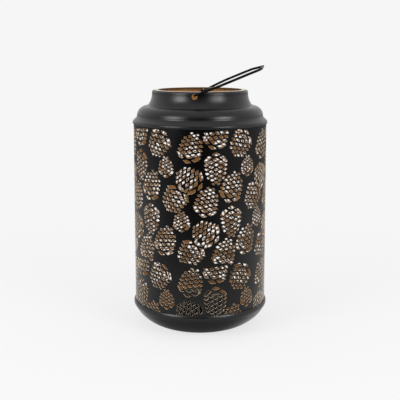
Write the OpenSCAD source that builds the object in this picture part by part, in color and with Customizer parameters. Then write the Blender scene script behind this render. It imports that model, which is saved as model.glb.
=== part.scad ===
// Battery lit metal lantern with pierced pinecones, a jar shaped collar and a wire bail
// Z is up and the lantern stands on z = 0. The bail swings about a line along Y.

/* [Body] */
// Outer diameter of the pierced wall
body_d = 150; // [120:1:180]
// Height of the wall that shows between pan and collar
wall_show_h = 203; // [150:0.1:260]
// Thickness of the sheet metal
sheet_t = 0.7; // [0.5:0.05:1]

/* [Base pan] */
// Height of the pan
pan_h = 29.3; // [27:0.1:36]
// Room between the light unit's flange and the slope of the pan's panel
foot_room = 2.9; // [2:0.1:10]
// Width of the ring that the pan stands on
foot_ring_w = 5; // [4:0.5:6]
// Rise of the panel inside that ring
kick_h = 3; // [2.8:0.1:4]
// Roundness of the side: 2 is an ellipse, less is flatter
pan_power = 1.75; // [1.6:0.05:2]
// Height of the rolled hem at the rim
hem_h = 7; // [6:0.5:9]
// How far the hem bulges out
hem_bulge = 1.15; // [0.8:0.05:1.6]

/* [Collar] */
// Height of the skirt over the wall
skirt_h = 3; // [2.5:0.1:6]
// Height of the hollow curve above the skirt
cove_h = 5.2; // [4:0.1:10]
// How far that curve draws in
cove_in = 4; // [3:0.1:6]
// Height of the rounded shoulder
shoulder_h = 10.6; // [8:0.1:14]
// How far the shoulder draws in
shoulder_in = 11.7; // [9:0.1:14]
// Height of the neck above the crease
neck_h = 15.2; // [15:0.1:20]
// Outer radius at the top of the neck
neck_r = 54; // [50:0.5:57]
// Flare of the neck down to the crease
neck_flare = 5; // [3:0.1:6]
// Radius of the rolled rim
rim_roll = 2.6; // [2:0.1:3]
// Radius of the mouth
mouth_r = 46.7; // [43:0.1:47]
// Length of the edge turned down at the mouth
mouth_edge = 2; // [1.5:0.1:2.2]

/* [Bail] */
// Diameter of the bail's wire
wire_d = 2.7; // [2.5:0.1:4]
// Reach from the pivot to the middle of the grip
bail_reach = 75.3; // [72:0.1:80]
// Radius of the bail's corners
bail_corner_r = 27; // [20:0.5:40]
// Angle of the bail above level as it is stored
bail_lift = 22.4; // [0:0.1:90]
// Radius of the holes in the neck
bail_hole_r = 3.2; // [3:0.1:3.6]
// Depth of those holes' centres under the rim
bail_hole_drop = 5.1; // [5:0.1:7]
// Length of the wire's tail inside the neck
bail_tail = 4.5; // [4:0.5:6]

/* [Piercing] */
// Number of repeats of the pattern round the wall
repeats = 5; // [4:1:6]
// Height of one repeat
repeat_h = 146; // [120:1:170]
// Turn of the first repeat
pattern_turn = -32; // [-72:0.1:72]
// Length of a large cone
cone_l = 35; // [28:0.5:38]
// Width of a large cone
cone_w = 27; // [20:0.5:30]
// Bare margin between the holes and the pan or collar
pierce_margin = 5.5; // [5:0.5:8]

/* [Light unit] */
// Wall of the tray outside the corners of the battery bay
bay_wall = 1.8; // [1.6:0.1:3.6]
// Height of the unit's top above the table
unit_top = 31; // [30:0.5:40]
// Wall of its moulded cover
cover_t = 1.2; // [1:0.1:1.5]
// Thickness of the tray's floor
tray_floor_t = 1.6; // [1.4:0.1:1.8]
// Height of the tray's drum above its floor
drum_h = 12.4; // [12.2:0.1:13]
// Diameter of a cell, size AAA
cell_d = 10.5; // [10:0.1:10.5]
// Length of a cell
cell_l = 44.5; // [43:0.1:45.5]
// Diameter of the lamp
led_d = 5; // [3:0.5:5]
// Travel of the switch
switch_travel = 4; // [2:0.5:4]

/* [Hidden] */
$fn = 96;
// Overrun of every cut
cut = 3;
// Gap of a close fit between sheets or pins
fit_gap = 0.05;
// Gap round a piece that moves or drops in
free_gap = 0.3;
// Steps in one curve of a sheet metal profile
curve_steps = 14;

// Wall
body_r = body_d / 2;
hem_z = pan_h - hem_h;
seat_lip = 0.3;
wall_z = hem_z + sheet_t + seat_lip;
collar_z = pan_h + wall_show_h;
wall_top_drop = 0.3;
wall_top = collar_z + skirt_h - wall_top_drop;
pattern_drop = 0.3;

// Collar
skirt_r = body_r + fit_gap + sheet_t;
cove_z = collar_z + skirt_h;
cove_gap_h = 1;
cove_power = 1.7;
shoulder_z = cove_z + cove_gap_h + cove_h;
crease_z = shoulder_z + shoulder_h;
crease_r = body_r - cove_in - shoulder_in;
neck_power = 2.2;
roll_z = crease_z + neck_h;
top_z = roll_z + rim_roll;

// Bail
wire_r = wire_d / 2;
bail_hole_z = top_z - bail_hole_drop;
pivot_z = bail_hole_z + bail_hole_r - wire_r - free_gap;
leg_gap = 1.5;
leg_y = neck_r + leg_gap + wire_r;
tail_y = neck_r - sheet_t - leg_gap - wire_r;
bail_bend_r = (leg_y - tail_y - sheet_t) / 2;

// Light unit
panel_top = kick_h + sheet_t;
tray_z = kick_h - tray_floor_t;
contact_t = 0.4;
contact_w = 8;
contact_h = 8;
spring_room = 1.7;
bay_l = cell_l + 2 * contact_t + spring_room;
bay_w = 2 * cell_d + 2 * free_gap;
// The tray's drum holds the bay, and the cover goes round the drum
drum_r = norm([bay_l, bay_w]) / 2 + bay_wall;
drum_top = kick_h + drum_h;
cutout_r = drum_r + free_gap;
unit_r = cutout_r + fit_gap + cover_t;
flange_r = unit_r + 2 * cover_t;
cover_edge_r = 3;
cell_z = kick_h + free_gap + cell_d / 2;
cell_y = bay_w / 4;
bay_top = cell_z + cell_d / 2 + free_gap;
// The cells lie against the flat contacts, and the springs fill what is left of the bay
cell_shift = bay_l / 2 - contact_t - cell_l / 2;
boss_r = 2.8;
boss_edge = 0.35;
boss_angle = 50.1;
boss_x = (drum_r - boss_r - boss_edge) * cos(boss_angle);
boss_y = (drum_r - boss_r - boss_edge) * sin(boss_angle);
screw_r = 1.15;
screw_head_r = 2.1;
screw_head_h = 1.4;
screw_l = 18;
screw_recess = 3.2;
screw_end = tray_z + screw_recess + screw_l;
board_r = 20;
board_t = 1.6;
board_z = 20.5;
board_post_x = 14;
board_post_r = 2.2;
led_flange_h = 1;
led_flange_lip = 0.4;
led_body_h = 5.3;
led_drop = 2.5;
led_z = unit_top - cover_t - led_drop;
led_wire_r = 0.3;
led_wire_x = led_d / 4;
lead_r = 0.6;
lead_x = bay_l / 2 - contact_t;

// Door
hinge_r = 0.7;
hinge_pin_l = 1.2;
hinge_room = 0.7;
hinge_drop = 0.4;
hinge_in = 1.3;
hinge_z = kick_h - hinge_drop;
hinge_x = -bay_l / 2 + hinge_in;
notch_r = 4;
notch_depth = 0.9;

// Pan
hem_steps = 6;
hem_r = body_r + fit_gap + sheet_t;
kick_slope = 1.5;
foot_r = flange_r + foot_room + kick_slope + foot_ring_w;

// Switch
switch_y = 19;
switch_l = 9.4;
switch_w = 4.4;
switch_h = 3.6;
knob_l = 4;
knob_w = 2.6;
knob_z = 0.5;
knob_stem = 1.2;
knob_x = -switch_travel / 2;

coat = [0.09, 0.09, 0.10];
plastic = [0.05, 0.05, 0.05];
metal = [0.75, 0.75, 0.76];

// Unit normal to the left of a path at point i
function left_of(path, i) =
  let (a = path[max(i - 1, 0)], b = path[min(i + 1, len(path) - 1)], d = b - a)
  [-d[1], d[0]] / norm(d);

// The same path moved to its left
function moved_left(path, t) = [for (i = [0 : len(path) - 1]) path[i] + t * left_of(path, i)];

function reversed(path) = [for (i = [len(path) - 1 : -1 : 0]) path[i]];

// A sheet that follows a path, as an outline
function sheet(path, t) = concat(path, reversed(moved_left(path, t)));

// Side of the pan, from the foot up to the hem
function pan_point(a) = [
  foot_r + (body_r + hem_bulge + sheet_t - foot_r) * pow(cos(a), 2 / pan_power),
  pan_h - pan_h * pow(sin(a), 2 / pan_power)
];
hem_angle = asin(pow(hem_h / pan_h, pan_power / 2));
pan_side = [for (i = [0 : curve_steps]) pan_point(90 - (90 - hem_angle) * i / curve_steps)];
pan_floor = [
  [cutout_r, kick_h],
  [foot_r - foot_ring_w - kick_slope, kick_h],
  [foot_r - foot_ring_w, 0]
];

// Hem of the pan: a bulged ring whose inside holds the wall
hem_outline = concat(
  [[body_r + fit_gap - sheet_t, wall_z], [body_r + fit_gap - sheet_t, hem_z + sheet_t]],
  [[pan_side[curve_steps][0] - sheet_t, hem_z], [pan_side[curve_steps][0], hem_z]],
  [for (i = [0 : hem_steps])
    [hem_r + hem_bulge * sin(180 * i / hem_steps), hem_z + hem_h * i / hem_steps]],
  [[body_r + fit_gap, pan_h], [body_r + fit_gap, wall_z]]
);

// Collar, from the skirt's lower edge up and over the rim to the mouth
cove = [for (i = [0 : curve_steps])
  [body_r - cove_in + cove_in * pow(1 - i / curve_steps, cove_power),
   cove_z + cove_gap_h + cove_h * i / curve_steps]];
shoulder = [for (i = [1 : curve_steps])
  [crease_r + shoulder_in * cos(90 * i / curve_steps), shoulder_z + shoulder_h * sin(90 * i / curve_steps)]];
neck = [for (i = [1 : curve_steps])
  [neck_r + neck_flare * pow(1 - i / curve_steps, neck_power), crease_z + neck_h * i / curve_steps]];
roll = [for (i = [1 : hem_steps])
  [neck_r - rim_roll + rim_roll * cos(90 * i / hem_steps), roll_z + rim_roll * sin(90 * i / hem_steps)]];
mouth = [
  [mouth_r + sheet_t, top_z],
  [mouth_r, top_z - sheet_t],
  [mouth_r, top_z - mouth_edge]
];
collar_path = concat([[skirt_r, collar_z], [skirt_r, cove_z]], cove, shoulder, neck, roll, mouth);

module base_pan() {
  color(coat)
  union() {
    rotate_extrude() polygon(sheet(concat(pan_floor, pan_side), sheet_t));
    rotate_extrude() polygon(hem_outline);
  }
}

// Places of the cones in one repeat, as shares across and down it, with the apex's angle
// clockwise from straight up and the cone's size as a share of a large one
cone_shares = [
  [0.032, 0.103, 215, 0.94], [0.233, 0.510, 215, 0.94], [0.414, 0.911, 215, 0.94],
  [0.403, 0.127, 10, 1.00], [0.605, 0.524, 10, 1.00], [0.806, 0.918, 10, 1.00],
  [0.711, 0.288, 180, 1.00], [0.902, 0.685, 180, 1.00],
  [0.127, 0.277, 0, 0.68], [0.318, 0.675, 0, 0.68],
  [0.403, 0.366, 300, 0.97], [0.594, 0.760, 300, 0.97],
  [0.912, 0.425, 20, 1.02], [0.114, 0.829, 20, 1.02], [0.711, 0.021, 20, 1.02]
];
// Holes of a cone: place across and along it, width and height, as shares of its size
scale_shares = [
  [0, -0.37, 0.56, 0.27], [-0.26, -0.13, 0.44, 0.31], [0.26, -0.13, 0.44, 0.31],
  [0, 0.10, 0.46, 0.33], [0, 0.39, 0.28, 0.26]
];

// One hole through the wall, a lozenge standing on the radius
module scale_hole(w, h) {
  rotate([90, 0, 0])
    linear_extrude(height = 2 * cut + sheet_t, center = true)
      polygon([[-w / 2, 0], [0, -h / 2], [w / 2, 0], [0, h / 2]]);
}

// Holes of the cones in one repeat that lie in the band from low to high
module repeat_holes(top, low, high) {
  for (c = cone_shares)
    for (s = scale_shares) {
      across = s[0] * cone_w * c[3] * cos(c[2]) + s[1] * cone_l * c[3] * sin(c[2]);
      up = s[1] * cone_l * c[3] * cos(c[2]) - s[0] * cone_w * c[3] * sin(c[2]);
      z = top - c[1] * repeat_h + up;
      if (z > low && z < high)
        rotate([0, 0, 360 * c[0] / repeats + across / body_r * 180 / PI])
          translate([0, -body_r, z])
            rotate([0, c[2], 0])
              scale_hole(s[2] * cone_w * c[3], s[3] * cone_l * c[3]);
    }
}

module pierced_body() {
  lowest = pan_h + pierce_margin;
  highest = collar_z - pierce_margin;
  color(coat)
  difference() {
    translate([0, 0, wall_z]) cylinder(h = wall_top - wall_z, r = body_r);
    translate([0, 0, wall_z - cut]) cylinder(h = wall_top - wall_z + 2 * cut, r = body_r - sheet_t);
    for (k = [0 : repeats - 1])
      rotate([0, 0, pattern_turn + 360 * k / repeats])
        for (top = [collar_z - pattern_drop : -repeat_h : pan_h])
          repeat_holes(top, max(lowest, top - repeat_h), min(highest, top));
  }
}

module collar() {
  color(coat)
  difference() {
    rotate_extrude() polygon(sheet(collar_path, sheet_t));
    translate([0, 0, bail_hole_z])
      rotate([90, 0, 0]) cylinder(h = 2 * (neck_r + cut), r = bail_hole_r, center = true);
  }
}

// Round bar along X from the origin
module bar(l, r) {
  rotate([0, 90, 0]) cylinder(h = l, r = r);
}

// Quarter bend in the XY plane about the origin, from +X round to +Y
module bend(bend_r, r) {
  rotate_extrude(angle = 90) translate([bend_r, 0]) circle(r = r);
}

// Half of the bail in its own plane: X runs out along the leg, Y along the pivot
module bail_half() {
  corner_y = leg_y - bail_corner_r;
  corner_x = bail_reach - bail_corner_r;
  translate([-bail_tail, tail_y, 0]) bar(bail_tail - bail_bend_r, wire_r);
  translate([-bail_bend_r, tail_y + bail_bend_r, 0]) rotate([0, 0, -90]) bend(bail_bend_r, wire_r);
  translate([0, tail_y + bail_bend_r, 0])
    rotate([0, 0, 90]) bar(leg_y - tail_y - 2 * bail_bend_r, wire_r);
  translate([bail_bend_r, leg_y - bail_bend_r, 0]) rotate([0, 0, 90]) bend(bail_bend_r, wire_r);
  translate([bail_bend_r, leg_y, 0]) bar(corner_x - bail_bend_r, wire_r);
  translate([corner_x, corner_y, 0]) bend(bail_corner_r, wire_r);
  translate([bail_reach, 0, 0]) rotate([0, 0, 90]) bar(corner_y, wire_r);
}

module bail_handle() {
  color(coat)
  translate([0, 0, pivot_z]) rotate([0, -bail_lift, 0])
    union() {
      bail_half();
      mirror([0, 1, 0]) bail_half();
    }
}

module at_bosses() {
  for (x = [-boss_x, boss_x], y = [-boss_y, boss_y]) translate([x, y, 0]) children();
}

module light_cover() {
  roof_z = unit_top - cover_t;
  post_z = board_z + board_t;
  edge = [for (i = [0 : hem_steps])
    [unit_r - cover_edge_r + cover_edge_r * cos(90 * i / hem_steps),
     unit_top - cover_edge_r + cover_edge_r * sin(90 * i / hem_steps)]];
  color(plastic)
  difference() {
    union() {
      rotate_extrude()
        polygon(sheet(concat([[unit_r, panel_top]], edge, [[led_d / 2 + fit_gap, unit_top]]), cover_t));
      at_bosses() translate([0, 0, drum_top]) cylinder(h = roof_z - drum_top, r = boss_r);
      for (x = [-board_post_x, board_post_x])
        translate([x, 0, post_z]) cylinder(h = roof_z - post_z, r = board_post_r);
    }
    at_bosses() translate([0, 0, drum_top - cut])
      cylinder(h = cut + screw_end + free_gap - drum_top, r = screw_r + fit_gap);
    for (x = [-board_post_x, board_post_x])
      translate([x, 0, post_z - cut]) cylinder(h = cut + board_post_r * 2, r = screw_r + fit_gap);
  }
}

module battery_tray() {
  room = switch_travel + knob_l + 2 * free_gap;
  color(plastic)
  difference() {
    union() {
      translate([0, 0, tray_z]) cylinder(h = tray_floor_t, r = flange_r);
      translate([0, 0, kick_h]) cylinder(h = drum_h, r = drum_r);
    }
    translate([-bay_l / 2 - hinge_room, -bay_w / 2, tray_z - cut])
      cube([bay_l + hinge_room, bay_w, tray_floor_t + cut]);
    translate([-bay_l / 2, -bay_w / 2, kick_h - fit_gap]) cube([bay_l, bay_w, bay_top - kick_h]);
    translate([hinge_x, 0, hinge_z]) rotate([90, 0, 0])
      cylinder(h = bay_w + 2 * (hinge_pin_l + fit_gap), r = hinge_r + fit_gap, center = true);
    translate([-switch_l / 2, -switch_y - switch_w / 2, kick_h]) cube([switch_l, switch_w, drum_h + cut]);
    translate([-room / 2, -switch_y - knob_w / 2 - free_gap, tray_z - cut])
      cube([room, knob_w + 2 * free_gap, tray_floor_t + 2 * cut]);
    at_bosses() {
      translate([0, 0, tray_z - cut]) cylinder(h = drum_top - tray_z + 2 * cut, r = screw_r + fit_gap);
      translate([0, 0, tray_z - cut]) cylinder(h = screw_recess + cut, r = screw_head_r + free_gap);
    }
    for (y = [-cell_y, cell_y])
      translate([lead_x, y, bay_top - cut]) cylinder(h = drum_h, r = lead_r + fit_gap);
  }
}

module battery_door() {
  end_x = bay_l / 2 - free_gap;
  door_w = bay_w - 2 * free_gap;
  color(plastic)
  difference() {
    union() {
      translate([hinge_x, -door_w / 2, tray_z]) cube([end_x - hinge_x, door_w, tray_floor_t]);
      translate([hinge_x, 0, hinge_z]) rotate([90, 0, 0])
        cylinder(h = bay_w + 2 * hinge_pin_l, r = hinge_r, center = true);
    }
    translate([end_x - notch_r, 0, tray_z - cut]) cylinder(h = cut + notch_depth, r = notch_r);
  }
}

module switch_knob() {
  color("white")
  translate([knob_x, -switch_y, 0])
    union() {
      translate([-knob_l / 2, -knob_w / 2, knob_z]) cube([knob_l, knob_w, kick_h - knob_z]);
      translate([-knob_stem / 2, -knob_stem / 2, kick_h]) cube([knob_stem, knob_stem, knob_stem]);
    }
}

module switch_body() {
  slot_l = switch_travel + knob_stem + 2 * free_gap;
  slot_w = knob_stem + 2 * free_gap;
  pin_l = 3;
  color(metal)
  translate([0, -switch_y, kick_h + free_gap])
    difference() {
      union() {
        translate([-switch_l / 2 + fit_gap, -switch_w / 2 + fit_gap, 0])
          cube([switch_l - 2 * fit_gap, switch_w - 2 * fit_gap, switch_h]);
        for (x = [-pin_l, 0, pin_l]) translate([x, 0, switch_h]) cylinder(h = pin_l, r = contact_t);
      }
      translate([-slot_l / 2, -slot_w / 2, -cut]) cube([slot_l, slot_w, cut + knob_stem]);
    }
}

module circuit_board() {
  color("seagreen")
  difference() {
    translate([0, 0, board_z]) cylinder(h = board_t, r = board_r);
    for (x = [-board_post_x, board_post_x])
      translate([x, 0, board_z - cut]) cylinder(h = board_t + 2 * cut, r = screw_r + fit_gap);
    for (x = [-led_wire_x, led_wire_x])
      translate([x, 0, board_z - cut]) cylinder(h = board_t + 2 * cut, r = led_wire_r + fit_gap);
  }
}

module timer_chip() {
  chip_l = 5;
  chip_w = 4;
  chip_h = 1.5;
  color(plastic) translate([-chip_l / 2, chip_w, board_z - chip_h]) cube([chip_l, chip_w, chip_h]);
}

module resistor() {
  resistor_l = 6;
  resistor_r = 1.2;
  color("tan")
  translate([-resistor_l / 2, -2 * resistor_l, board_z + board_t + resistor_r]) bar(resistor_l, resistor_r);
}

module led() {
  color("ivory")
  union() {
    translate([0, 0, led_z]) cylinder(h = led_flange_h, r = led_d / 2 + led_flange_lip);
    translate([0, 0, led_z]) cylinder(h = led_body_h, r = led_d / 2);
    translate([0, 0, led_z + led_body_h]) sphere(r = led_d / 2);
    for (x = [-led_wire_x, led_wire_x])
      translate([x, 0, board_z - led_flange_h])
        cylinder(h = led_z - board_z + 2 * led_flange_h, r = led_wire_r);
  }
}

module led_spacer() {
  color(plastic)
  difference() {
    translate([0, 0, board_z + board_t])
      cylinder(h = led_z - board_z - board_t, r = led_d / 2 + led_flange_lip);
    for (x = [-led_wire_x, led_wire_x])
      translate([x, 0, board_z]) cylinder(h = led_z, r = led_wire_r + fit_gap);
  }
}

// A cell along X, its raised end towards -X
module cell() {
  nub_l = 0.8;
  nub_r = 1.9;
  translate([-cell_l / 2 + nub_l, 0, 0]) bar(cell_l - nub_l, cell_d / 2);
  translate([-cell_l / 2, 0, 0]) bar(cell_l / 2, nub_r);
}

module cell_1() {
  color("goldenrod") translate([-cell_shift, cell_y, cell_z]) cell();
}

module cell_2() {
  color("goldenrod") translate([cell_shift, -cell_y, cell_z]) rotate([0, 0, 180]) cell();
}

// Flat plate against the end wall of the bay, at the -X end
module contact_plate(y, w) {
  translate([-bay_l / 2, y - w / 2, cell_z - contact_h / 2]) cube([contact_t, w, contact_h]);
}

// Cone that a contact spring fills, from the plate towards +X
module contact_spring(y) {
  spring_base_r = 3.2;
  spring_tip_r = 2;
  spring_l = bay_l - 2 * contact_t - cell_l - fit_gap;
  translate([-bay_l / 2 + contact_t / 2, y, cell_z]) rotate([0, 90, 0])
    cylinder(h = spring_l + contact_t / 2, r1 = spring_base_r, r2 = spring_tip_r);
}

module bridge_contact() {
  color(metal)
  union() {
    contact_plate(0, 2 * cell_y + contact_w);
    contact_spring(-cell_y);
  }
}

module spring_contact() {
  color(metal)
  rotate([0, 0, 180])
    union() {
      contact_plate(-cell_y, contact_w);
      contact_spring(-cell_y);
    }
}

module plate_contact() {
  color(metal) rotate([0, 0, 180]) contact_plate(cell_y, contact_w);
}

// Wire from the top of a contact at the +X end up through the tray and in to the board
module lead(y) {
  bend_r = 2 * lead_r;
  low_z = cell_z + contact_h / 2 + fit_gap;
  high_z = board_z - bend_r;
  run = lead_x - board_r + 2 * bend_r;
  translate([lead_x, y, 0])
    union() {
      translate([0, 0, low_z]) cylinder(h = high_z - low_z - bend_r, r = lead_r);
      translate([-bend_r, 0, high_z - bend_r]) rotate([90, 0, 0]) bend(bend_r, lead_r);
      translate([bend_r - run, 0, high_z]) bar(run - 2 * bend_r, lead_r);
      translate([bend_r - run, 0, high_z + bend_r]) rotate([90, 180, 0]) bend(bend_r, lead_r);
    }
}

module red_lead() {
  color("firebrick") lead(-cell_y);
}

module black_lead() {
  color(plastic) lead(cell_y);
}

module screw(l, head_r, head_h) {
  translate([0, 0, -head_h]) cylinder(h = head_h, r = head_r);
  cylinder(h = l, r = screw_r);
}

module tray_screws() {
  color(metal) at_bosses() translate([0, 0, tray_z + screw_recess]) screw(screw_l, screw_head_r, screw_head_h);
}

module board_screws() {
  board_screw_l = board_t + board_post_r;
  color(metal)
  for (x = [-board_post_x, board_post_x])
    translate([x, 0, board_z]) screw(board_screw_l, screw_head_r, screw_head_h);
}

base_pan();
pierced_body();
collar();
bail_handle();
light_cover();
battery_tray();
battery_door();
switch_knob();
switch_body();
circuit_board();
timer_chip();
resistor();
led();
led_spacer();
cell_1();
cell_2();
bridge_contact();
spring_contact();
plate_contact();
red_lead();
black_lead();
tray_screws();
board_screws();
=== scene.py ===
import math
import bmesh
import bpy
from mathutils import Matrix, Vector
from mathutils.geometry import delaunay_2d_cdt


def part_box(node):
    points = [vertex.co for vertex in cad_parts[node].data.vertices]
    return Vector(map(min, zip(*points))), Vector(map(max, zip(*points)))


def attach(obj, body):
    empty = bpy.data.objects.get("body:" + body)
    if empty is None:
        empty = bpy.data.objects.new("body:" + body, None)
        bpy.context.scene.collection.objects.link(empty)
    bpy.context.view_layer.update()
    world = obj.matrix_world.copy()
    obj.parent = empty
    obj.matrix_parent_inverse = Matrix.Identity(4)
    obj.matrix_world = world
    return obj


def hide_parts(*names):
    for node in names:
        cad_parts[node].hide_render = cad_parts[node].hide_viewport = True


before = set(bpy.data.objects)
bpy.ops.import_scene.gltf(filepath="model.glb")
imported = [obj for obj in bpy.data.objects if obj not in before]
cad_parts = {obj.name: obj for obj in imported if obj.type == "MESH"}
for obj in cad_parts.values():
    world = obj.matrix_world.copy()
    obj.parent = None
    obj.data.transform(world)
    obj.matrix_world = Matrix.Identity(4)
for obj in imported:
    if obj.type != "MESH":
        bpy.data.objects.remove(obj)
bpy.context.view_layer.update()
scene = bpy.context.scene
MM = 0.001

# Camera, measured from the photograph's ellipses, in millimetres and degrees
CAMERA_DISTANCE = 929.9
CAMERA_HEIGHT = 320.0
CAMERA_TURN = 6.2
CAMERA_PITCH = 9.35
CAMERA_LENS = 73.99
CAMERA_SENSOR = 36.0
CAMERA_SHIFT = -0.0509
CAMERA_CLIP = 10.0

# Studio: tones of backdrop and floor, the floor's half side in millimetres, and the world's light
BACKDROP = (0.92, 0.92, 0.92, 1)
FLOOR_TONE = (0.82, 0.82, 0.82, 1)
FLOOR_ROUGH = 0.9
FLOOR_REACH = 6000.0
WORLD_LEVEL = 0.82
# Each lamp's angle from the camera's side, distance and height in metres, and power
LAMPS = [(-48, 1.35, 0.62, 10.4), (42, 1.35, 0.62, 9.4)]
LAMP_SIZE = 0.62
LAMP_AIM_Z = 0.15

# What the coat mirrors: each range's start and end, and the strength at its start and its end. The
# first two ranges go by a direction in the world, the next two by that of a place on the floor, and
# the rest by such a place's distance from the lantern's axis in metres.
FRONT_GLOSS = 0.015
BEHIND_RANGE = (-1.0, 0.1, FRONT_GLOSS, 1.0)
ABOVE_RANGE = (0.35, 0.8, FRONT_GLOSS, 1.0)
FLOOR_SIDE_RANGE = (-1.05, -0.25, FRONT_GLOSS, 1.0)
FLOOR_BACK_RANGE = (0.0, 0.7, 1.0, 0.6)
FLOOR_FAR_RANGE = (0.4, 1.6, 1.0, 0.4)
# Painted shadow: the floor that the coat mirrors is darker near the lantern's foot
FLOOR_FOOT_SHADOW_RANGE = (0.05, 0.13, 0.2, 1.0)
FLOOR_NEAR_RANGE = (0.15, 0.75, 1.0, FRONT_GLOSS)
# What the camera sees of the floor: the backdrop's strength and its share over the lit floor
FLOOR_GLOW_RANGE = (0.1, 0.7, 1.03, 1.0)
FLOOR_COVER_RANGE = (0.1, 0.7, 0.75, 1.0)

# Finishes: detail of the two noises, the noise's range that a finish spans, and the bump's strength
PATCH_DETAIL = 3.0
GRAIN_DETAIL = 2.0
PATCH_RANGE = (0.3, 0.7)
BUMP_STRENGTH = 0.35

# Pan, collar and bail as the construction has them, in millimetres and degrees
SHEET = 0.7
PAN_H = 29.3
FOOT_R = 41.01
FOOT_RING = 5.0
KICK_H = 3.0
KICK_SLOPE = 1.5
CUTOUT_R = 27.96
PAN_POWER = 1.75
HEM_H = 7.0
HEM_BULGE = 1.15
WALL_R = 75.0
COLLAR_Z = 232.3
SKIRT_H = 3.0
COVE_GAP = 1.0
COVE_H = 5.2
COVE_IN = 4.0
COVE_POWER = 1.7
SHOULDER_H = 10.6
SHOULDER_IN = 11.7
NECK_H = 15.2
NECK_R = 54.0
NECK_FLARE = 5.0
NECK_POWER = 2.2
RIM_ROLL = 2.6
MOUTH_R = 46.7
MOUTH_EDGE = 2.0
FIT_GAP = 0.05
BAIL_HOLE_R = 3.2
BAIL_HOLE_DROP = 5.1
WIRE_D = 2.7
PIVOT_Z = 266.35
BAIL_REACH = 75.3
BAIL_CORNER_R = 27.0
BAIL_LIFT = 22.4
BAIL_LEG_Y = 56.85
BAIL_TAIL_Y = 50.45
BAIL_TAIL = 4.5
BAIL_BEND_R = 2.85

# Tucks and bulges that the scene adds to the sheet, in millimetres, with the hem's fullness as a power
HEM_TUCK = 0.25
HEM_POWER = 0.8
SKIRT_TUCK = 0.1
SKIRT_BULGE = 0.5
# Drill for the bail's holes, and how near points have to be to be joined after its cut, in millimetres
DRILL_REACH = 66.0
DRILL_SIDES = 32
WELD_GAP = 0.005

# Steps along the outlines and round the axis, and the steps of the lip that have its lacquer, lightened
# to cream as a painted reflection of the pale backdrop
RING_STEPS = 180
KICK_STEPS = 6
SIDE_STEPS = 48
HEM_STEPS = 14
SKIRT_STEPS = 8
COVE_STEPS = 16
SHOULDER_STEPS = 24
NECK_STEPS = 20
ROLL_STEPS = 8
MOUTH_STEPS = 5
LIP_STEPS = 3

# How the bail's wire, bent by hand, leaves its plane, in millimetres
BOW_RUN = 30.0
BOW_FADE = 17.0
BOW_DIP = 0.2
BOW_RISE = 0.4
BOW_TWIST = 1.3
BAR_DROP = 0.45
BAR_TWIST = 0.9
# Wire: steps of its bends, legs and corners, sides, and its ends' rounding as shares of its radius.
# The tail on the photograph's side lacks its first points.
BEND_STEPS = 8
LEG_STEPS = 10
CORNER_STEPS = 24
BAR_PLACES = (0.5, 0, -0.5)
NEAR_TAIL_START = 5
WIRE_SIDES = 24
TIP_LENGTH_SHARE = 0.35
TIP_R_SHARE = 0.72

# Contacts of the battery bay, in millimetres, with the spring's steps a turn and its flat share
CONTACT_T = 0.4
CONTACT_H = 8.0
CONTACT_CLIP = 0.8
SPRING_BASE_R = 3.2
SPRING_TIP_R = 2.0
SPRING_WIRE_R = 0.22
SPRING_TURNS = 2.5
SPRING_STEPS = 24
SPRING_SIDES = 12
SPRING_FLAT = 0.15

# Piercing, in millimetres and degrees, with the cones' places measured from the wall's front line
REPEATS = 5
REPEAT_H = 146.0
PATTERN_TOP = 232.0
PATTERN_TURN = 6.2
CHAMFER = 0.1
CROP_GAP = 0.8
CROP_HEAD = 2.4
LOWEST_HOLE = 2.6

# Holes of a cone, their sizes, sag and gaps as shares of the space between columns or rows
HOLE_W_SHARE = 0.49
HOLE_H_SHARE = 0.58
MARGIN_SHARE = 0.32
BASE_SAG_SHARE = 0.6
BASE_SAG_RUN = 0.4
TIP_SAG_SHARE = 0.25
EDGE_KEEP = 0.35
NEAREST_SHARE = 0.6
ROW_SLACK = 0.2
MOST_COLUMNS = 4
SIDE_SHRINK = 0.35
TIP_HOLE_SHRINK = 0.35
TIP_SPACE_SHRINK = 0.4
TIP_SHRINK_POWER = 3
# Widening of the first rows' holes and of the space between them, from the base up
HOLE_WIDER = [1.6, 1.42, 1.45, 1.3]
SPACE_WIDER = [1.5, 1.48, 1.0, 1.0]
# A cone's outline: how near its ends it is read, where its widest place lies and how full it is
EGG_END = 0.004
EGG_SKEW = 0.7
EGG_POWER = 0.5

# Cutting: how far a hole reaches, the repeats on each side whose holes may reach in, the grid's
# step and its distance from holes in millimetres, and the triangulation's form and nearness
HOLE_REACH = 6.0
SIDE_REPEATS = 2
GRID_STEP = 4.0
GRID_CLEAR = 3.6
TRIANGLES_INSIDE = 1
CUT_NEARNESS = 1e-5
# Rolling: the parts of a turn and of a millimetre that tell two places apart
TURN_KEYS = 1000000
HEIGHT_KEYS = 1000

# One repeat: centre along the wall and height above the repeat's foot, the apex's angle
# clockwise from up, length, width, half rows of holes and space between columns of holes
CONES = [
    (-47.6, 129.8, 214, 32, 32, 12, 5.7), (-28, 71, 214, 32, 32, 12, 5.7),
    (-10.5, 12.3, 214, 32, 32, 12, 5.7), (-9.7, 126.8, 16, 34, 27, 13, 5.3),
    (7.3, 69, 16, 34, 27, 13, 5.3), (27.3, 12.3, 17, 34, 27, 13, 5.3),
    (17, 104, 180, 35, 26, 13, 5.2), (35, 46, 180, 35, 26, 13, 5.2),
    (-38, 105.5, 0, 23, 19, 11, 3.9), (-20, 47.5, 0, 23, 19, 11, 3.9),
    (-12, 92.5, 300, 32, 31, 12, 5.7), (6, 35, 300, 32, 31, 12, 5.7),
    (36, 84, 20, 35, 28, 13, 5.4), (55, 25, 20, 35, 28, 13, 5.4),
    (18.2, 141.8, 20, 35, 28, 13, 5.4),
]
# Half of a hole's outline as shares of its half width and half height, which the other half mirrors
EYE_SHARES = [(1.08, 0.0), (0.66, 0.5), (0.2, 0.98), (-0.2, 0.98), (-0.66, 0.5)]


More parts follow.
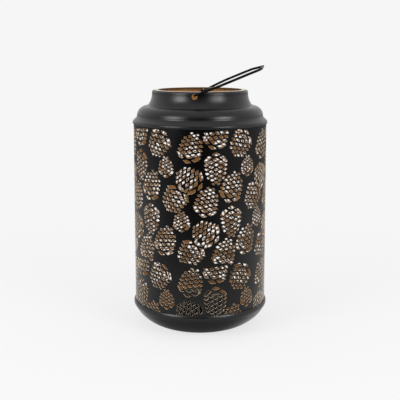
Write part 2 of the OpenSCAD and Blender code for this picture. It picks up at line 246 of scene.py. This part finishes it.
def node_tree(name):
    """A new material with its nodes, links and shader."""
    material = bpy.data.materials.new(name)
    material.use_nodes = True
    nodes = material.node_tree.nodes
    return material, nodes, material.node_tree.links, nodes["Principled BSDF"]


def noise(nodes, links, scale, detail):
    """Noise in the object's own coordinates, as a socket."""
    place = nodes.new("ShaderNodeTexCoord")
    texture = nodes.new("ShaderNodeTexNoise")
    texture.inputs["Scale"].default_value = scale
    texture.inputs["Detail"].default_value = detail
    links.new(place.outputs["Object"], texture.inputs["Vector"])
    return texture.outputs["Fac"]


def toned(nodes, links, value, low, high):
    """A colour between low and high by a value, as a socket."""
    mix = nodes.new("ShaderNodeMix")
    mix.data_type = "RGBA"
    mix.inputs["A"].default_value = (*low, 1)
    mix.inputs["B"].default_value = (*high, 1)
    links.new(value, mix.inputs["Factor"])
    return mix.outputs["Result"]


def ranged(nodes, links, value, limits, ends="SMOOTHSTEP"):
    """A value from one range turned to another, with soft ends unless they are said to be linear."""
    stretch = nodes.new("ShaderNodeMapRange")
    stretch.interpolation_type = ends
    for name, number in zip(("From Min", "From Max", "To Min", "To Max"), limits):
        stretch.inputs[name].default_value = number
    links.new(value, stretch.inputs["Value"])
    return stretch.outputs["Result"]


def combined(nodes, links, first, second, operation="MULTIPLY"):
    """Two values combined by an operation, as a socket."""
    result = nodes.new("ShaderNodeMath")
    result.operation = operation
    links.new(first, result.inputs[0])
    links.new(second, result.inputs[1])
    return result.outputs["Value"]


def make_material(name, low, high, rough, patch_scale, grain_scale, grain_height,
                  metallic=0.0, specular=0.5):
    """A finish with patches of two tones, roughness that varies with them and a fine grain."""
    material, nodes, links, shader = node_tree(name)
    patches = noise(nodes, links, patch_scale, PATCH_DETAIL)
    grain = noise(nodes, links, grain_scale, GRAIN_DETAIL)
    roughness = ranged(nodes, links, patches, PATCH_RANGE + rough, "LINEAR")
    links.new(toned(nodes, links, patches, low, high), shader.inputs["Base Color"])
    links.new(roughness, shader.inputs["Roughness"])
    shader.inputs["Metallic"].default_value = metallic
    shader.inputs["Specular IOR Level"].default_value = specular
    bump = nodes.new("ShaderNodeBump")
    bump.inputs["Strength"].default_value = BUMP_STRENGTH
    bump.inputs["Distance"].default_value = grain_height * MM
    links.new(grain, bump.inputs["Height"])
    links.new(bump.outputs["Normal"], shader.inputs["Normal"])
    return material


# Each finish: its two tones, its roughness from and to, the scales of patches and grain, and the
# grain's height in millimetres
coat = make_material("black_coat", (0.0012, 0.0012, 0.0014), (0.0024, 0.0022, 0.0027), (0.27, 0.35),
                     60, 2600, 0.05, specular=0.42)
wall_coat = make_material("wall_coat", (0.0006, 0.0006, 0.0007), (0.0012, 0.0011, 0.0013), (0.2, 0.26),
                          60, 2600, 0.05, specular=0.3)
wire_coat = make_material("wire_coat", (0.0015, 0.0015, 0.0018), (0.003, 0.003, 0.0035), (0.36, 0.46),
                          60, 2600, 0.05, specular=0.07)
lining = make_material("gold_lining", (0.42, 0.215, 0.065), (0.58, 0.315, 0.105), (0.38, 0.5),
                       90, 1500, 0.04, metallic=0.3, specular=0.3)
edge = make_material("cut_edge", (0.78, 0.64, 0.46), (0.90, 0.77, 0.60), (0.3, 0.45),
                     300, 2000, 0.02, metallic=0.5)
cut = make_material("cut_side", (0.52, 0.42, 0.30), (0.64, 0.53, 0.40), (0.3, 0.45),
                    300, 2000, 0.02, metallic=0.5)
# Lip top: lacquer lightened to cream, a painted reflection of the pale backdrop
lip = make_material("lip_lacquer_and_painted_reflection", (0.60, 0.48, 0.36), (0.70, 0.57, 0.44), (0.2, 0.3),
                    80, 1500, 0.04, metallic=0.3)
# Mouth edge: dark brown painted shade under the rim's lip
lip_edge_painted_shade = make_material("lip_edge_painted_shade", (0.05, 0.028, 0.01), (0.07, 0.04, 0.015), (0.4, 0.5),
                         80, 1500, 0.04, specular=0.1)
plastic = make_material("black_plastic", (0.005, 0.005, 0.005), (0.009, 0.009, 0.009), (0.45, 0.6),
                        150, 3000, 0.08, specular=0.25)
white = make_material("white_plastic", (0.70, 0.70, 0.68), (0.78, 0.78, 0.75), (0.3, 0.4),
                      200, 2500, 0.03)
steel = make_material("plated_steel", (0.55, 0.55, 0.56), (0.68, 0.68, 0.69), (0.22, 0.4),
                      250, 4000, 0.02, metallic=1.0)
board = make_material("solder_mask", (0.01, 0.09, 0.04), (0.02, 0.13, 0.06), (0.25, 0.35),
                      400, 3000, 0.03)
tan = make_material("resistor_lacquer", (0.55, 0.40, 0.22), (0.62, 0.47, 0.28), (0.3, 0.4),
                    900, 4000, 0.02)
resin = make_material("lamp_resin", (0.80, 0.70, 0.45), (0.88, 0.80, 0.58), (0.12, 0.2),
                      500, 3000, 0.01)
jacket = make_material("cell_jacket", (0.45, 0.28, 0.06), (0.55, 0.36, 0.10), (0.25, 0.35),
                       100, 2500, 0.02, metallic=0.4)
red = make_material("red_insulation", (0.40, 0.02, 0.015), (0.48, 0.03, 0.02), (0.4, 0.5),
                    500, 3000, 0.02)

NODE_FINISH = {
    "light_cover": plastic, "battery_tray": plastic, "battery_door": plastic, "switch_knob": white,
    "switch_body": steel, "circuit_board": board, "timer_chip": plastic, "resistor": tan, "led": resin,
    "led_spacer": plastic, "cell_1": jacket, "cell_2": jacket, "plate_contact": steel, "red_lead": red,
    "black_lead": plastic, "tray_screws": steel, "board_screws": steel,
}
for node, finish in NODE_FINISH.items():
    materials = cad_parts[node].data.materials
    materials.clear()
    materials.append(finish)


def new_object(name, points, faces, materials, face_materials=None):
    """A mesh object from points in millimetres."""
    mesh = bpy.data.meshes.new(name)
    mesh.from_pydata([(x * MM, y * MM, z * MM) for x, y, z in points], [], faces)
    for material in materials:
        mesh.materials.append(material)
    if face_materials:
        mesh.polygons.foreach_set("material_index", face_materials)
    mesh.update()
    piece = bpy.data.objects.new(name, mesh)
    scene.collection.objects.link(piece)
    return piece


def smooth(piece, angle=35):
    """Smooth shading with sharp edges past an angle in degrees."""
    bpy.context.view_layer.objects.active = piece
    piece.select_set(True)
    bpy.ops.object.shade_smooth_by_angle(angle=math.radians(angle))
    piece.select_set(False)


def revolve(name, outline, materials, outline_materials):
    """A ring from a closed outline of radius and height."""
    points = []
    for i in range(RING_STEPS):
        turn = 2 * math.pi * i / RING_STEPS
        points += [(r * math.cos(turn), r * math.sin(turn), z) for r, z in outline]
    count = len(outline)
    faces = []
    face_materials = []
    for i in range(RING_STEPS):
        here = i * count
        there = (i + 1) % RING_STEPS * count
        for j in range(count):
            k = (j + 1) % count
            faces.append((here + j, there + j, there + k, here + k))
            face_materials.append(outline_materials[j])
    return new_object(name, points, faces, materials, face_materials)


def moved_left(path, distance):
    """The path moved to its left."""
    moved = []
    for i, (r, z) in enumerate(path):
        before = path[max(i - 1, 0)]
        after = path[min(i + 1, len(path) - 1)]
        dr = after[0] - before[0]
        dz = after[1] - before[1]
        size = math.hypot(dr, dz)
        moved.append((r - distance * dz / size, z + distance * dr / size))
    return moved


def shares(steps, start=0):
    """Shares up to 1 in equal steps, from the step that is named."""
    return [i / steps for i in range(start, steps + 1)]


def quarter(r, z, across, up, steps):
    """A quarter of an ellipse from its side to its top, without its first point."""
    points = []
    for s in shares(steps, 1):
        turn = math.pi / 2 * s
        points.append((r + across * math.cos(turn), z + up * math.sin(turn)))
    return points


def make_pan():
    """Pan with its foot ring, side and hem."""
    rise = WALL_R + HEM_BULGE + SHEET - FOOT_R
    hem_angle = math.asin((HEM_H / PAN_H) ** (PAN_POWER / 2))
    path = [(CUTOUT_R, KICK_H)]
    for s in shares(KICK_STEPS):
        path.append((FOOT_R - FOOT_RING - KICK_SLOPE * (1 - s), KICK_H * (1 + math.cos(math.pi * s)) / 2))
    for s in shares(SIDE_STEPS):
        angle = math.pi / 2 - (math.pi / 2 - hem_angle) * s
        path.append((FOOT_R + rise * math.cos(angle) ** (2 / PAN_POWER),
                     PAN_H - PAN_H * math.sin(angle) ** (2 / PAN_POWER)))
    below_hem = path[:-1]
    hem_z = PAN_H - HEM_H
    hem_r = WALL_R + FIT_GAP + SHEET
    for s in shares(HEM_STEPS, 1):
        bulge = HEM_BULGE * math.sin(math.pi * s) ** HEM_POWER
        path.append((hem_r + bulge - HEM_TUCK * (1 - s), hem_z + HEM_H * s))
    inner = [(WALL_R + FIT_GAP, PAN_H), (WALL_R + FIT_GAP, hem_z + SHEET)]
    inner += moved_left(below_hem, SHEET)[::-1]
    tones = [0] * (len(path) + 1) + [1] * (len(inner) - 1)
    pan = revolve("pan_shell", path + inner, [coat, lining], tones)
    smooth(pan)
    return pan


def collar_path():
    """Outside of the collar from the skirt's edge over the rim and down the mouth."""
    skirt_r = WALL_R + FIT_GAP + SHEET
    cove_z = COLLAR_Z + SKIRT_H + COVE_GAP
    shoulder_z = cove_z + COVE_H
    crease_z = shoulder_z + SHOULDER_H
    crease_r = WALL_R - COVE_IN - SHOULDER_IN
    roll_z = crease_z + NECK_H
    top_z = roll_z + RIM_ROLL
    path = []
    for s in shares(SKIRT_STEPS):
        path.append((skirt_r - SKIRT_TUCK + SKIRT_BULGE * math.sin(math.pi * s), COLLAR_Z + SKIRT_H * s))
    for s in shares(COVE_STEPS):
        path.append((WALL_R - COVE_IN + COVE_IN * (1 - s) ** COVE_POWER, cove_z + COVE_H * s))
    path += quarter(crease_r, shoulder_z, SHOULDER_IN, SHOULDER_H, SHOULDER_STEPS)
    for s in shares(NECK_STEPS, 1):
        path.append((NECK_R + NECK_FLARE * (1 - s) ** NECK_POWER, crease_z + NECK_H * s))
    path += quarter(NECK_R - RIM_ROLL, roll_z, RIM_ROLL, RIM_ROLL, ROLL_STEPS)
    lip_start = len(path) - LIP_STEPS + 1
    path.append((MOUTH_R + SHEET, top_z))
    for s in shares(MOUTH_STEPS, 1):
        turn = math.pi / 2 * s
        path.append((MOUTH_R + SHEET * (1 - math.sin(turn)), top_z - SHEET * (1 - math.cos(turn))))
    path.append((MOUTH_R, top_z - MOUTH_EDGE))
    return path, lip_start, top_z


def take_out(piece, cutter):
    """Takes the cutter's space out of a piece and joins what the cut leaves nearly touching."""
    change = piece.modifiers.new("cut", "BOOLEAN")
    change.object = cutter
    change.solver = "EXACT"
    bpy.context.view_layer.update()
    cut_piece = piece.evaluated_get(bpy.context.evaluated_depsgraph_get())
    shape = bpy.data.meshes.new_from_object(cut_piece)
    piece.modifiers.clear()
    clean = bmesh.new()
    clean.from_mesh(shape)
    bmesh.ops.remove_doubles(clean, verts=clean.verts, dist=WELD_GAP * MM)
    bmesh.ops.dissolve_degenerate(clean, edges=clean.edges, dist=WELD_GAP * MM)
    bmesh.ops.triangulate(clean, faces=[face for face in clean.faces if len(face.verts) > 4])
    clean.to_mesh(shape)
    clean.free()
    piece.data = shape
    bpy.data.objects.remove(cutter)


def make_collar():
    """Collar with its two holes for the bail."""
    path, lip_start, top_z = collar_path()
    outline = path + moved_left(path, SHEET)[::-1]
    # Tone 2 on the lip's top steps is the cream painted reflection; tone 3 on the mouth's edge is a dark
    # brown painted shade
    tones = [0] * lip_start + [2] * LIP_STEPS + [3] * (len(path) - lip_start - LIP_STEPS)
    tones += [1] * (len(outline) - len(path))
    collar = revolve("collar_shell", outline, [coat, lining, lip, lip_edge_painted_shade], tones)
    drill_points = []
    for y in (-DRILL_REACH, DRILL_REACH):
        for i in range(DRILL_SIDES):
            turn = 2 * math.pi * i / DRILL_SIDES
            drill_points.append((BAIL_HOLE_R * math.cos(turn), y,
                                 top_z - BAIL_HOLE_DROP + BAIL_HOLE_R * math.sin(turn)))
    sides = DRILL_SIDES
    drill_faces = [(sides + i, sides + (i + 1) % sides, (i + 1) % sides, i) for i in range(sides)]
    drill_faces += [tuple(range(sides)), tuple(range(sides, 2 * sides))[::-1]]
    take_out(collar, new_object("drill", drill_points, drill_faces, [edge]))
    smooth(collar)
    return collar


def arc(cx, cy, r, start, stop, steps):
    """Points of an arc from one angle to another, in degrees."""
    points = []
    for s in shares(steps):
        turn = math.radians(start + (stop - start) * s)
        points.append((cx + r * math.cos(turn), cy + r * math.sin(turn)))
    return points


def bail_line():
    """Centreline of the bail in its own plane, from the far tail round to the near one."""
    tail = [(-BAIL_TAIL, BAIL_TAIL_Y)]
    tail += arc(-BAIL_BEND_R, BAIL_TAIL_Y + BAIL_BEND_R, BAIL_BEND_R, -90, 0, BEND_STEPS)
    half = arc(BAIL_BEND_R, BAIL_LEG_Y - BAIL_BEND_R, BAIL_BEND_R, 180, 90, BEND_STEPS)
    leg_end = BAIL_REACH - BAIL_CORNER_R
    for s in shares(LEG_STEPS, 1)[:-1]:
        half.append((BAIL_BEND_R + (leg_end - BAIL_BEND_R) * s, BAIL_LEG_Y))
    half += arc(leg_end, BAIL_LEG_Y - BAIL_CORNER_R, BAIL_CORNER_R, 90, 0, CORNER_STEPS)
    bar_x, bar_y = half[-1]
    bar = [(bar_x, bar_y * s) for s in BAR_PLACES]
    near = [(x, -y) for x, y in tail[NEAR_TAIL_START:] + half]
    return tail + half + bar + near[::-1]


def bail_bow(x, y):
    """How far the hand bent wire stands out of its plane: the far leg rises and the near one dips."""
    reach = math.sin(math.pi / 2 * min(max(x - BAIL_BEND_R, 0) / BOW_RUN, 1))
    fade = math.cos(math.pi / 2 * min(max(x - BAIL_REACH + BOW_FADE, 0) / BOW_FADE, 1)) ** 2
    dip = BOW_DIP * min(y, 0) / BAIL_LEG_Y
    rise = BOW_RISE * fade - BAR_DROP * (1 - fade)
    twist = BOW_TWIST * fade + BAR_TWIST * (1 - fade)
    return reach * (rise + twist * y / BAIL_LEG_Y) + (1 - reach) * dip


def tube(line, r, sides, side):
    """Points and faces of a round wire along a line, with rounded ends and a side to count from."""
    rows = []
    for i, point in enumerate(line):
        ahead = line[min(i + 1, len(line) - 1)] - line[max(i - 1, 0)]
        rows.append((point, ahead.normalized(), r))
    tip = TIP_LENGTH_SHARE * r
    tip_r = TIP_R_SHARE * r
    start, start_ahead, _ = rows[0]
    stop, stop_ahead, _ = rows[-1]
    rows[0] = (start + start_ahead * tip, start_ahead, r)
    rows[-1] = (stop - stop_ahead * tip, stop_ahead, r)
    rows = [(start, start_ahead, tip_r)] + rows + [(stop, stop_ahead, tip_r)]
    points = []
    for point, ahead, size in rows:
        other = ahead.cross(side).normalized()
        side_here = other.cross(ahead).normalized()
        for k in range(sides):
            turn = 2 * math.pi * k / sides
            points.append(point + other * size * math.cos(turn) + side_here * size * math.sin(turn))
    faces = []
    for i in range(len(rows) - 1):
        for k in range(sides):
            m = (k + 1) % sides
            faces.append((i * sides + k, (i + 1) * sides + k, (i + 1) * sides + m, i * sides + m))
    faces.append(tuple(range(sides)))
    faces.append(tuple(range((len(rows) - 1) * sides, len(rows) * sides))[::-1])
    return points, faces


def make_bail():
    """Bail at rest, leaning towards +X."""
    lift = Matrix.Rotation(math.radians(-BAIL_LIFT), 3, "Y")
    line = [Vector((x, y, bail_bow(x, y))) for x, y in bail_line()]
    points, faces = tube(line, WIRE_D / 2, WIRE_SIDES, Vector((0, 0, 1)))
    wire = new_object("bail_wire", points, faces, [wire_coat])
    wire.data.transform(Matrix.Translation((0, 0, PIVOT_Z * MM)) @ lift.to_4x4())
    smooth(wire)
    return wire


def spring_line(start_x, stop_x, centre_y, centre_z):
    """Centreline of a contact's spring, from its wide turn on the plate to its narrow one at the cell."""
    line = []
    for s in shares(round(SPRING_STEPS * SPRING_TURNS)):
        turn = 2 * math.pi * SPRING_TURNS * s
        r = SPRING_BASE_R + (SPRING_TIP_R - SPRING_BASE_R) * s - SPRING_WIRE_R
        rise = min(max((s - SPRING_FLAT) / (1 - 2 * SPRING_FLAT), 0), 1)
        line.append(Vector((start_x + (stop_x - start_x) * rise,
                            centre_y + r * math.cos(turn), centre_z + r * math.sin(turn))))
    return line


def make_contact(name, node, end):
    """Contact at one end of the battery bay: its plate, with clipped corners, and its wound spring."""
    low, high = (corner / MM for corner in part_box(node))
    wall_x, tip_x = (high.x, low.x) if end > 0 else (low.x, high.x)
    clip = CONTACT_CLIP
    corners = [
        (low.y + clip, low.z), (high.y - clip, low.z), (high.y, low.z + clip), (high.y, high.z - clip),
        (high.y - clip, high.z), (low.y + clip, high.z), (low.y, high.z - clip), (low.y, low.z + clip),
    ]
    points = [(x, y, z) for x in (wall_x, wall_x - end * CONTACT_T) for y, z in corners]
    count = len(corners)
    faces = [tuple(range(count)), tuple(range(count, 2 * count))[::-1]]
    faces += [(i, count + i, count + (i + 1) % count, (i + 1) % count) for i in range(count)]
    if end < 0:
        faces = [face[::-1] for face in faces]
    line = spring_line(wall_x - end * (CONTACT_T + SPRING_WIRE_R), tip_x + end * SPRING_WIRE_R,
                       low.y + CONTACT_H / 2, (low.z + high.z) / 2)
    coil_points, coil_faces = tube(line, SPRING_WIRE_R, SPRING_SIDES, Vector((1, 0, 0)))
    faces += [tuple(v + len(points) for v in face) for face in coil_faces]
    contact = new_object(name, points + coil_points, faces, [steel])
    smooth(contact)
    return contact


def egg_width(along, length, width):
    """Half width of a cone's outline at a place along it."""
    t = min(max(along / length + 0.5, EGG_END), 1 - EGG_END)
    return width / 2 * math.sin(math.pi * t ** EGG_SKEW) ** EGG_POWER


def cone_holes(length, width, rows, spacing):
    """Outlines of one cone's holes with its apex up."""
    margin = MARGIN_SHARE * spacing
    run = length - 2 * margin
    holes = []
    for row in range(rows + 1):
        t = row / rows
        along = run * t * (1 + ROW_SLACK - ROW_SLACK * t) + margin - length / 2
        pitch = run / rows * (1 + ROW_SLACK - 2 * ROW_SLACK * t)
        hole_wider = HOLE_WIDER[row] if row < len(HOLE_WIDER) else 1
        space_wider = SPACE_WIDER[row] if row < len(SPACE_WIDER) else 1
        space = spacing * space_wider * (1 - TIP_SPACE_SHRINK * t ** TIP_SHRINK_POWER)
        sag = spacing * (BASE_SAG_SHARE * max(0, 1 - t / BASE_SAG_RUN) - TIP_SAG_SHARE * t)
        for column in range(-MOST_COLUMNS, MOST_COLUMNS + 1):
            across = column * space
            middle = along + sag * (2 * across / width) ** 2
            limit = egg_width(middle, length, width)
            narrower = 1 - SIDE_SHRINK * (1 - 1 / hole_wider) * abs(column)
            half_w = HOLE_W_SHARE * spacing * hole_wider * narrower
            half_w *= 1 - TIP_HOLE_SHRINK * t ** TIP_SHRINK_POWER
            half_h = HOLE_H_SHARE * pitch
            if (column + row) % 2 or abs(across) > limit - EDGE_KEEP * half_w:
                continue
            outline = []
            for u, v in EYE_SHARES + [(-a, -b) for a, b in EYE_SHARES]:
                place = across + u * half_w
                level = along + sag * (2 * place / width) ** 2 + v * half_h
                edge_here = egg_width(level, length, width)
                outline.append((min(max(place, -edge_here), edge_here), level))
            holes.append(((across, middle), outline))
    return holes


def turned(point, x, z, turn):
    """A cone's own point set on the wall, turned clockwise."""
    across, along = point
    return (x + across * math.cos(turn) + along * math.sin(turn),
            z - across * math.sin(turn) + along * math.cos(turn))


def distance_to(hole, x, z, pitch):
    """Distance from a place on the wall to a hole's centre, or to the same hole of the next repeat."""
    across = (x - hole[0] + pitch / 2) % pitch - pitch / 2
    return math.hypot(across, z - hole[1])


def repeat_holes(low, high, pitch):
    """Every hole of one repeat of the wall: its centre and outline."""
    holes = []
    foot = PATTERN_TOP - REPEAT_H
    while foot + REPEAT_H > low:
        crop_low = max(low, foot + CROP_GAP)
        crop_high = min(high, foot + REPEAT_H - CROP_HEAD)
        for x, z, angle, length, width, rows, spacing in CONES:
            turn = math.radians(angle)
            for centre, outline in cone_holes(length, width, rows, spacing):
                hx, hz = turned(centre, x, foot + z, turn)
                nearest = NEAREST_SHARE * spacing
                clear = all(distance_to(hole, hx, hz, pitch) > nearest for hole in holes)
                if crop_low < hz < crop_high and clear:
                    holes.append((hx, hz, [turned(point, x, foot + z, turn) for point in outline]))
        foot -= REPEAT_H
    return holes


def grid_points(low, high, pitch, holes):
    """Points that keep the flat repeat's triangles small, along its sides and clear of its holes."""
    across_steps = round(pitch / GRID_STEP)
    up_steps = round((high - low) / GRID_STEP)
    points = []
    for i in range(across_steps + 1):
        for j in range(up_steps + 1):
            x = pitch * i / across_steps
            z = low + (high - low) * j / up_steps
            on_side = i in (0, across_steps) or j in (0, up_steps)
            if on_side or all(distance_to(hole, x, z, pitch) > GRID_CLEAR for hole in holes):
                points.append(Vector((x, z)))
    return points


def make_wall():
    """The pierced wall: one repeat is cut flat, rolled and set round the axis."""
    low_corner, high_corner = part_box("pierced_body")
    low = low_corner.z / MM
    high = high_corner.z / MM
    pitch = 2 * math.pi * WALL_R / REPEATS
    holes = repeat_holes(low + LOWEST_HOLE, high, pitch)
    points = [Vector((0, low)), Vector((pitch, low)), Vector((pitch, high)), Vector((0, high))]
    faces = [[0, 1, 2, 3]]
    inner_seats = {}
    for hx, hz, outline in holes:
        for k in range(-SIDE_REPEATS, SIDE_REPEATS + 1):
            shift = k * pitch
            if -HOLE_REACH < hx + shift < pitch + HOLE_REACH:
                faces.append(list(range(len(points), len(points) + len(outline))))
                for px, pz in outline:
                    wider = 1 + CHAMFER / math.hypot(px - hx, pz - hz)
                    inner_seats[len(points)] = Vector((px + shift, pz))
                    points.append(Vector((hx + shift + (px - hx) * wider, hz + (pz - hz) * wider)))
    points += grid_points(low, high, pitch, holes)
    flat, _, triangles, sources, _, origins = delaunay_2d_cdt(points, [], faces, TRIANGLES_INSIDE,
                                                              CUT_NEARNESS)
    kept = [tuple(t) for t, origin in zip(triangles, origins) if list(origin) == [0]]
    inside = []
    for place, source in zip(flat, sources):
        inside.append(inner_seats.get(source[0], place) if len(source) else place)
    return roll_wall(flat, inside, kept, pitch)


def open_sides(faces):
    """Sides that only one of the faces has, in its direction."""
    sides = {}
    for face in faces:
        for a, b in zip(face, face[1:] + face[:1]):
            if (b, a) in sides:
                del sides[(b, a)]
            else:
                sides[(a, b)] = True
    return sides


def on_wall(r, place):
    """A point at a radius, from its angle off the pattern's front line and its height."""
    turn, z = place
    turn += math.radians(PATTERN_TURN)
    return (r * math.sin(turn), -r * math.cos(turn), z)


def roll_wall(flat, inside, triangles, pitch):
    """Rolls the flat repeat, sets it round the axis, and adds the thickness and the holes' chamfers."""
    keys = {}
    places = []
    inner_places = []
    faces = []
    for k in range(REPEATS):
        for triangle in triangles:
            face = []
            for v in triangle:
                turn = (flat[v].x + k * pitch) / (REPEATS * pitch) % 1.0
                key = (round(turn * TURN_KEYS) % TURN_KEYS, round(flat[v].y * HEIGHT_KEYS))
                if key not in keys:
                    keys[key] = len(places)
                    places.append((2 * math.pi * turn, flat[v].y))
                    inner_places.append(((inside[v].x + k * pitch) / WALL_R, inside[v].y))
                face.append(keys[key])
            if len(set(face)) == 3:
                faces.append(tuple(face))
    sides = open_sides(faces)
    count = len(places)
    points = [on_wall(WALL_R, place) for place in places]
    points += [on_wall(WALL_R - SHEET, place) for place in inner_places]
    steps = {}
    for v in sorted({v for side in sides for v in side}):
        steps[v] = len(points)
        points.append(on_wall(WALL_R - CHAMFER, inner_places[v]))
    inner = [(c + count, b + count, a + count) for a, b, c in faces]
    chamfers = [(b, a, steps[a], steps[b]) for a, b in sides]
    rims = [(steps[b], steps[a], a + count, b + count) for a, b in sides]
    tones = [0] * len(faces) + [1] * len(inner) + [2] * len(chamfers) + [3] * len(rims)
    wall = new_object("pierced_wall", points, faces + inner + chamfers + rims,
                      [wall_coat, lining, edge, cut], tones)
    roll_normals(wall, len(faces), len(inner))
    return wall


def roll_normals(wall, outer_count, inner_count):
    """True cylinder normals on the wall's outside and inside."""
    mesh = wall.data
    normals = []
    for polygon in mesh.polygons:
        for vertex in polygon.vertices:
            place = mesh.vertices[vertex].co
            outward = Vector((place.x, place.y, 0)).normalized()
            if polygon.index < outer_count:
                normals.append(outward)
            elif polygon.index < outer_count + inner_count:
                normals.append(-outward)
            else:
                normals.append(polygon.normal.copy())
    mesh.polygons.foreach_set("use_smooth", [True] * len(mesh.polygons))
    mesh.normals_split_custom_set(normals)


def place_camera():
    """Camera at the photograph's viewing angle."""
    camera = bpy.data.objects.new("camera", bpy.data.cameras.new("camera"))
    turn = math.radians(CAMERA_TURN)
    camera.location = (CAMERA_DISTANCE * MM * math.sin(turn), -CAMERA_DISTANCE * MM * math.cos(turn),
                       CAMERA_HEIGHT * MM)
    camera.rotation_euler = (math.radians(90 - CAMERA_PITCH), 0, turn)
    camera.data.sensor_width = CAMERA_SENSOR
    camera.data.lens = CAMERA_LENS
    camera.data.shift_y = CAMERA_SHIFT
    camera.data.clip_start = CAMERA_CLIP * MM
    scene.collection.objects.link(camera)
    scene.camera = camera


def largest(nodes, links, values):
    """The largest of some values, as a socket."""
    most = values[0]
    for value in values[1:]:
        most = combined(nodes, links, most, value, "MAXIMUM")
    return most


def is_seen(nodes, links, path):
    """1 for a ray from the camera or through glass, as a socket."""
    return largest(nodes, links, [path.outputs["Is Camera Ray"], path.outputs["Is Transmission Ray"]])


def glowing(nodes, links, strength):
    """Light of the backdrop's tone, as a socket."""
    glow = nodes.new("ShaderNodeEmission")
    glow.inputs["Color"].default_value = BACKDROP
    links.new(strength, glow.inputs["Strength"])
    return glow.outputs["Emission"]


def mixed(nodes, links, share, first, second):
    """Two shaders mixed by the share of the second, as a socket."""
    mix = nodes.new("ShaderNodeMixShader")
    links.new(share, mix.inputs["Fac"])
    links.new(first, mix.inputs[1])
    links.new(second, mix.inputs[2])
    return mix.outputs["Shader"]


def make_world():
    """White backdrop all round for the eye, a darker room in front of the lantern for its sheen."""
    world = bpy.data.worlds.new("studio")
    scene.world = world
    world.use_nodes = True
    nodes = world.node_tree.nodes
    links = world.node_tree.links
    path = nodes.new("ShaderNodeLightPath")
    place = nodes.new("ShaderNodeTexCoord")
    split = nodes.new("ShaderNodeSeparateXYZ")
    links.new(place.outputs["Generated"], split.inputs["Vector"])
    behind = ranged(nodes, links, split.outputs["Y"], BEHIND_RANGE, "LINEAR")
    above = ranged(nodes, links, split.outputs["Z"], ABOVE_RANGE)
    sheen = combined(nodes, links, path.outputs["Is Glossy Ray"], largest(nodes, links, [behind, above]))
    lit = nodes.new("ShaderNodeMath")
    lit.operation = "MULTIPLY"
    lit.inputs[1].default_value = WORLD_LEVEL
    links.new(path.outputs["Is Diffuse Ray"], lit.inputs[0])
    strength = largest(nodes, links, [is_seen(nodes, links, path), sheen, lit.outputs["Value"]])
    background = nodes["Background"]
    background.inputs["Color"].default_value = BACKDROP
    links.new(strength, background.inputs["Strength"])


def make_floor():
    """Pale floor that meets the backdrop without a line and keeps the lantern's shadow."""
    side = FLOOR_REACH
    floor = new_object("floor", [(-side, -side, 0), (side, -side, 0), (side, side, 0), (-side, side, 0)],
                       [(0, 1, 2, 3)], [])
    material, nodes, links, shader = node_tree("floor")
    shader.inputs["Roughness"].default_value = FLOOR_ROUGH
    shader.inputs["Specular IOR Level"].default_value = 0.0
    shader.inputs["Base Color"].default_value = FLOOR_TONE
    path = nodes.new("ShaderNodeLightPath")
    place = nodes.new("ShaderNodeTexCoord")
    split = nodes.new("ShaderNodeSeparateXYZ")
    links.new(place.outputs["Object"], split.inputs["Vector"])
    length = nodes.new("ShaderNodeVectorMath")
    length.operation = "LENGTH"
    links.new(place.outputs["Object"], length.inputs[0])
    reach = length.outputs["Value"]
    glow = glowing(nodes, links, ranged(nodes, links, reach, FLOOR_GLOW_RANGE))
    cover = combined(nodes, links, is_seen(nodes, links, path),
                     ranged(nodes, links, reach, FLOOR_COVER_RANGE))
    seen = mixed(nodes, links, cover, shader.outputs["BSDF"], glow)
    backward = combined(nodes, links, split.outputs["Y"], reach, "DIVIDE")
    by_turn = combined(nodes, links, ranged(nodes, links, backward, FLOOR_SIDE_RANGE, "LINEAR"),
                       ranged(nodes, links, backward, FLOOR_BACK_RANGE))
    far = combined(nodes, links, by_turn, ranged(nodes, links, reach, FLOOR_FAR_RANGE))
    # Painted shadow of the lantern round its foot, in the floor that the coat mirrors
    near = combined(nodes, links, ranged(nodes, links, reach, FLOOR_FOOT_SHADOW_RANGE),
                    ranged(nodes, links, reach, FLOOR_NEAR_RANGE))
    mirrored = glowing(nodes, links, largest(nodes, links, [far, near]))
    surface = mixed(nodes, links, path.outputs["Is Glossy Ray"], seen, mirrored)
    links.new(surface, nodes["Material Output"].inputs["Surface"])
    floor.data.materials.append(material)


def make_lamps():
    """Soft lamps to the left and right of the camera."""
    for number, (angle, distance, height, power) in enumerate(LAMPS):
        name = f"softbox_{number}"
        lamp = bpy.data.objects.new(name, bpy.data.lights.new(name, "AREA"))
        lamp.data.shape = "RECTANGLE"
        lamp.data.size = LAMP_SIZE
        lamp.data.size_y = LAMP_SIZE
        lamp.data.energy = power
        turn = math.radians(angle + CAMERA_TURN)
        lamp.location = (distance * math.sin(turn), -distance * math.cos(turn), height)
        aim = Vector((0, 0, LAMP_AIM_Z)) - Vector(lamp.location)
        lamp.rotation_euler = aim.to_track_quat("-Z", "Y").to_euler()
        scene.collection.objects.link(lamp)


place_camera()
wall = make_wall()
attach(wall, "lantern")
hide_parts("pierced_body")
pan = make_pan()
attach(pan, "lantern")
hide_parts("base_pan")
collar = make_collar()
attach(collar, "lantern")
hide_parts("collar")
bail = make_bail()
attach(bail, "bail")
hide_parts("bail_handle")
for contact_name, contact_node, contact_end in (("bridge_spring", "bridge_contact", -1),
                                                ("plate_spring", "spring_contact", 1)):
    contact = make_contact(contact_name, contact_node, contact_end)
    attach(contact, "lantern")
    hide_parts(contact_node)
make_world()
make_floor()
make_lamps()
scene.view_settings.view_transform = "Standard"
